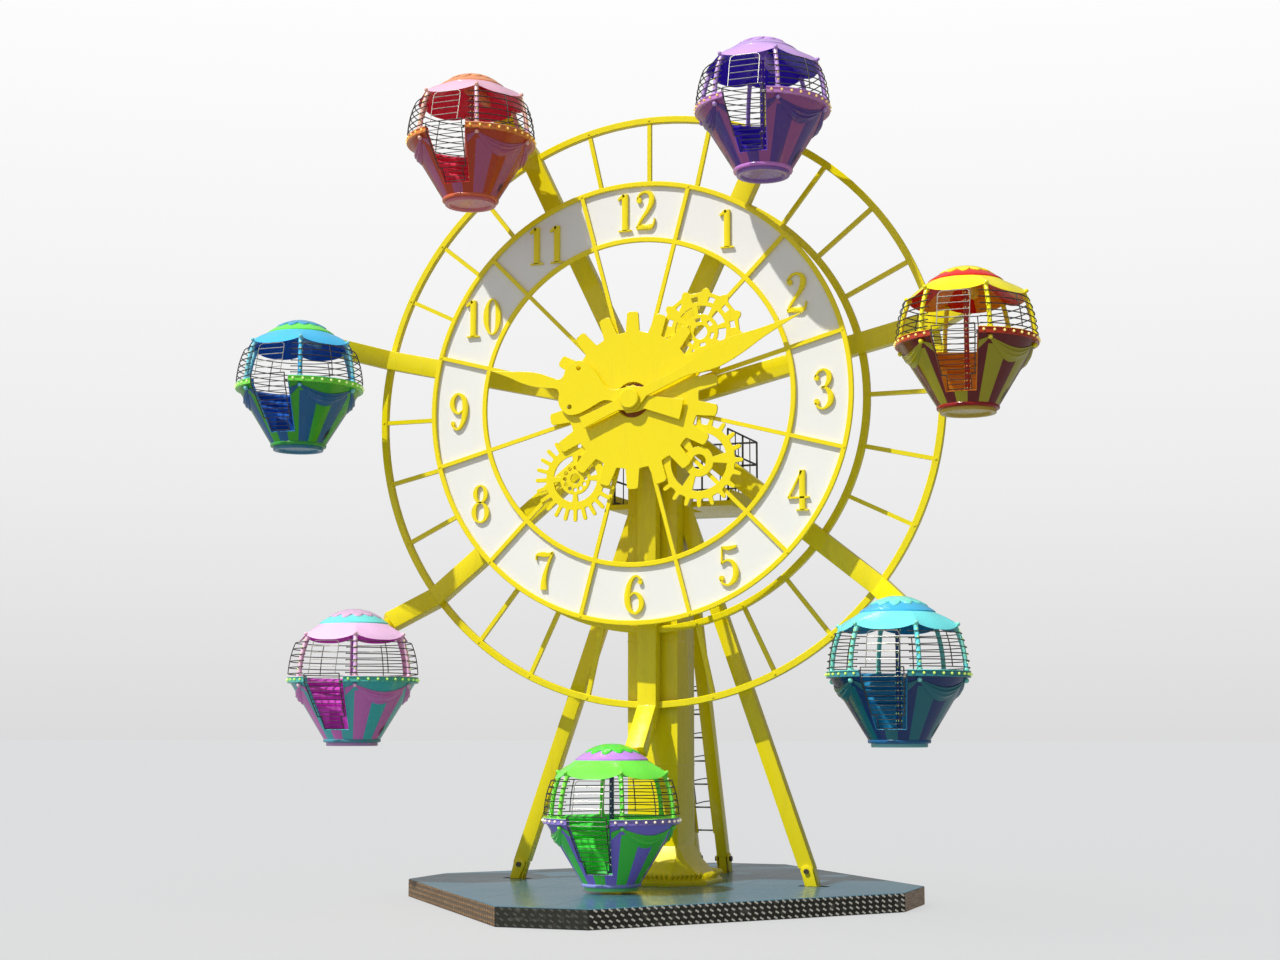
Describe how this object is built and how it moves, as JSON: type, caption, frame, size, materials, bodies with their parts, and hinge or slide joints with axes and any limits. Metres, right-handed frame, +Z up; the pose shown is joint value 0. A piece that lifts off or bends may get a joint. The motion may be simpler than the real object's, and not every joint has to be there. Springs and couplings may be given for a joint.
{
  "type": "ferris wheel",
  "caption": "Ferris wheel with a clock dial at its hub, bent arms carrying hanging domed cabins with gates, on a braced mast with ladder, platform and octagonal deck.",
  "frame": {"origin": "on the ground, at the centre of the deck's underside", "axes": "+Z up, the dial and the cabin gates face -Y, +X to the right as seen from the front"},
  "size_m": [14.643, 10.86, 14.8061],
  "materials": {
    "frame_paint": "gloss",
    "deck_plate": "satin",
    "dark_steel": "satin",
    "dial_white": "gloss",
    "cabin_green": "gloss",
    "cabin_pink": "gloss",
    "cabin_sky": "gloss",
    "cabin_red": "gloss",
    "cabin_violet": "gloss",
    "cabin_yellow": "gloss",
    "cabin_blue": "gloss"
  },
  "bodies": {
    "frame": {"deck": "deck_plate", "mast": "frame_paint", "strut_left": "frame_paint", "strut_right": "frame_paint", "rear_leg_left": "frame_paint", "rear_leg_right": "frame_paint", "ladder": "dark_steel", "platform": "frame_paint", "platform_railing": "dark_steel", "axle": "dark_steel", "dial_frame": "frame_paint", "dial_plate": "dial_white", "gear_main": "frame_paint", "gear_upper_right": "frame_paint", "gear_lower_right": "frame_paint", "gear_lower_left": "frame_paint", "hand_arbor": "frame_paint"},
    "minute_hand": {"minute_hand": "frame_paint"},
    "hour_hand": {"hour_hand": "frame_paint"},
    "wheel": {"arm_spider": "frame_paint", "rim_sector_1": "frame_paint", "rim_sector_2": "frame_paint", "rim_sector_3": "frame_paint", "rim_sector_4": "frame_paint", "rim_sector_5": "frame_paint", "rim_sector_6": "frame_paint", "rim_sector_7": "frame_paint"},
    "cabin_green": {"cabin_green_tub": "cabin_green", "cabin_green_canopy": "cabin_green"},
    "gate_green": {"cabin_green_gate": "dark_steel"},
    "cabin_pink": {"cabin_pink_tub": "cabin_pink", "cabin_pink_canopy": "cabin_pink"},
    "gate_pink": {"cabin_pink_gate": "dark_steel"},
    "cabin_sky": {"cabin_sky_tub": "cabin_sky", "cabin_sky_canopy": "cabin_sky"},
    "gate_sky": {"cabin_sky_gate": "dark_steel"},
    "cabin_red": {"cabin_red_tub": "cabin_red", "cabin_red_canopy": "cabin_red"},
    "gate_red": {"cabin_red_gate": "dark_steel"},
    "cabin_violet": {"cabin_violet_tub": "cabin_violet", "cabin_violet_canopy": "cabin_violet"},
    "gate_violet": {"cabin_violet_gate": "dark_steel"},
    "cabin_yellow": {"cabin_yellow_tub": "cabin_yellow", "cabin_yellow_canopy": "cabin_yellow"},
    "gate_yellow": {"cabin_yellow_gate": "dark_steel"},
    "cabin_blue": {"cabin_blue_tub": "cabin_blue", "cabin_blue_canopy": "cabin_blue"},
    "gate_blue": {"cabin_blue_gate": "dark_steel"}
  },
  "joints": [
    {"name": "wheel_turn", "type": "hinge", "parent": "frame", "child": "wheel", "pos_m": [0, 0, 8.84], "axis": [0, 1, 0], "continuous": true},
    {"name": "minute_turn", "type": "hinge", "parent": "frame", "child": "minute_hand", "pos_m": [0, 0, 8.84], "axis": [0, 1, 0], "continuous": true},
    {"name": "hour_turn", "type": "hinge", "parent": "frame", "child": "hour_hand", "pos_m": [0, 0, 8.84], "axis": [0, 1, 0], "continuous": true},
    {"name": "cabin_green_swing", "type": "hinge", "parent": "wheel", "child": "cabin_green", "pos_m": [0, -2.43, 2.52], "axis": [0, 1, 0], "continuous": true},
    {"name": "cabin_pink_swing", "type": "hinge", "parent": "wheel", "child": "cabin_pink", "pos_m": [-4.9412, -2.43, 4.8995], "axis": [0, 1, 0], "continuous": true},
    {"name": "cabin_sky_swing", "type": "hinge", "parent": "wheel", "child": "cabin_sky", "pos_m": [-6.1615, -2.43, 10.2463], "axis": [0, 1, 0], "continuous": true},
    {"name": "cabin_red_swing", "type": "hinge", "parent": "wheel", "child": "cabin_red", "pos_m": [-2.7421, -2.43, 14.5341], "axis": [0, 1, 0], "continuous": true},
    {"name": "cabin_violet_swing", "type": "hinge", "parent": "wheel", "child": "cabin_violet", "pos_m": [2.7421, -2.43, 14.5341], "axis": [0, 1, 0], "continuous": true},
    {"name": "cabin_yellow_swing", "type": "hinge", "parent": "wheel", "child": "cabin_yellow", "pos_m": [6.1615, -2.43, 10.2463], "axis": [0, 1, 0], "continuous": true},
    {"name": "cabin_blue_swing", "type": "hinge", "parent": "wheel", "child": "cabin_blue", "pos_m": [4.9412, -2.43, 4.8995], "axis": [0, 1, 0], "continuous": true},
    {"name": "gate_green_swing", "type": "hinge", "parent": "cabin_green", "child": "gate_green", "pos_m": [0.385, -3.575, 1.462], "axis": [0, 0, 1], "range_deg": [0, 95]},
    {"name": "gate_pink_swing", "type": "hinge", "parent": "cabin_pink", "child": "gate_pink", "pos_m": [-4.5562, -3.575, 3.8415], "axis": [0, 0, 1], "range_deg": [0, 95]},
    {"name": "gate_sky_swing", "type": "hinge", "parent": "cabin_sky", "child": "gate_sky", "pos_m": [-5.7765, -3.575, 9.1883], "axis": [0, 0, 1], "range_deg": [0, 95]},
    {"name": "gate_red_swing", "type": "hinge", "parent": "cabin_red", "child": "gate_red", "pos_m": [-2.3571, -3.575, 13.4761], "axis": [0, 0, 1], "range_deg": [0, 95]},
    {"name": "gate_violet_swing", "type": "hinge", "parent": "cabin_violet", "child": "gate_violet", "pos_m": [3.1271, -3.575, 13.4761], "axis": [0, 0, 1], "range_deg": [0, 95]},
    {"name": "gate_yellow_swing", "type": "hinge", "parent": "cabin_yellow", "child": "gate_yellow", "pos_m": [6.5465, -3.575, 9.1883], "axis": [0, 0, 1], "range_deg": [0, 95]},
    {"name": "gate_blue_swing", "type": "hinge", "parent": "cabin_blue", "child": "gate_blue", "pos_m": [5.3262, -3.575, 3.8415], "axis": [0, 0, 1], "range_deg": [0, 95]}
  ],
  "couplings": [
    {"joint": "hour_turn", "follows": "minute_turn", "ratio": 0.083333},
    {"joint": "cabin_green_swing", "follows": "wheel_turn", "ratio": -1},
    {"joint": "cabin_pink_swing", "follows": "wheel_turn", "ratio": -1},
    {"joint": "cabin_sky_swing", "follows": "wheel_turn", "ratio": -1},
    {"joint": "cabin_red_swing", "follows": "wheel_turn", "ratio": -1},
    {"joint": "cabin_violet_swing", "follows": "wheel_turn", "ratio": -1},
    {"joint": "cabin_yellow_swing", "follows": "wheel_turn", "ratio": -1},
    {"joint": "cabin_blue_swing", "follows": "wheel_turn", "ratio": -1}
  ]
}
